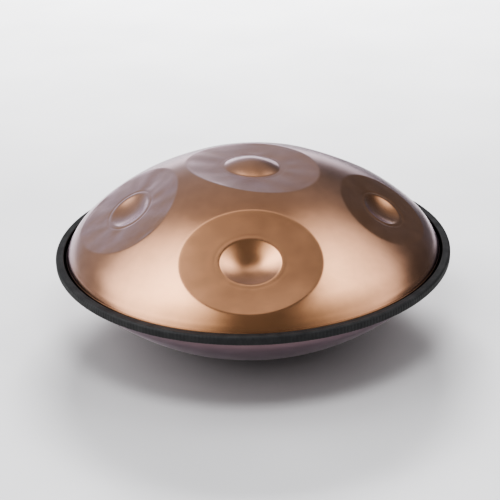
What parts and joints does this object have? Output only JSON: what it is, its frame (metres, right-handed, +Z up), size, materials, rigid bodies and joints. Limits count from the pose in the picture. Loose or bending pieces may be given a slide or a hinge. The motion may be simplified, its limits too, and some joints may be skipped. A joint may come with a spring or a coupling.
{
  "type": "handpan",
  "caption": "Handpan: two pressed steel half shells bonded rim to rim, hammered tone fields, domed ding, necked port underneath and ribbed rubber edge trim.",
  "frame": {"origin": "centre of the port's mouth, on the plane that the flat land round the port rests on", "axes": "+Z up through the ding, -Y towards the player and the front tone field, +X to the player's right"},
  "size_m": [0.5499, 0.55, 0.2552],
  "materials": {
    "upper_steel": "satin, heat-coloured bronze with fine brushing, mauve at grazing angles",
    "lower_steel": "satin, heat-coloured dark plum bronze",
    "adhesive": "cured two-part adhesive, dull",
    "trim_rubber": "matt black extrusion with fine ribs",
    "carrier_steel": "plain strip, unpolished"
  },
  "bodies": {
    "root": {"upper_shell": "upper_steel", "lower_shell": "lower_steel", "rim_bond": "adhesive", "rim_trim": "trim_rubber", "trim_carrier": "carrier_steel"}
  },
  "joints": []
}
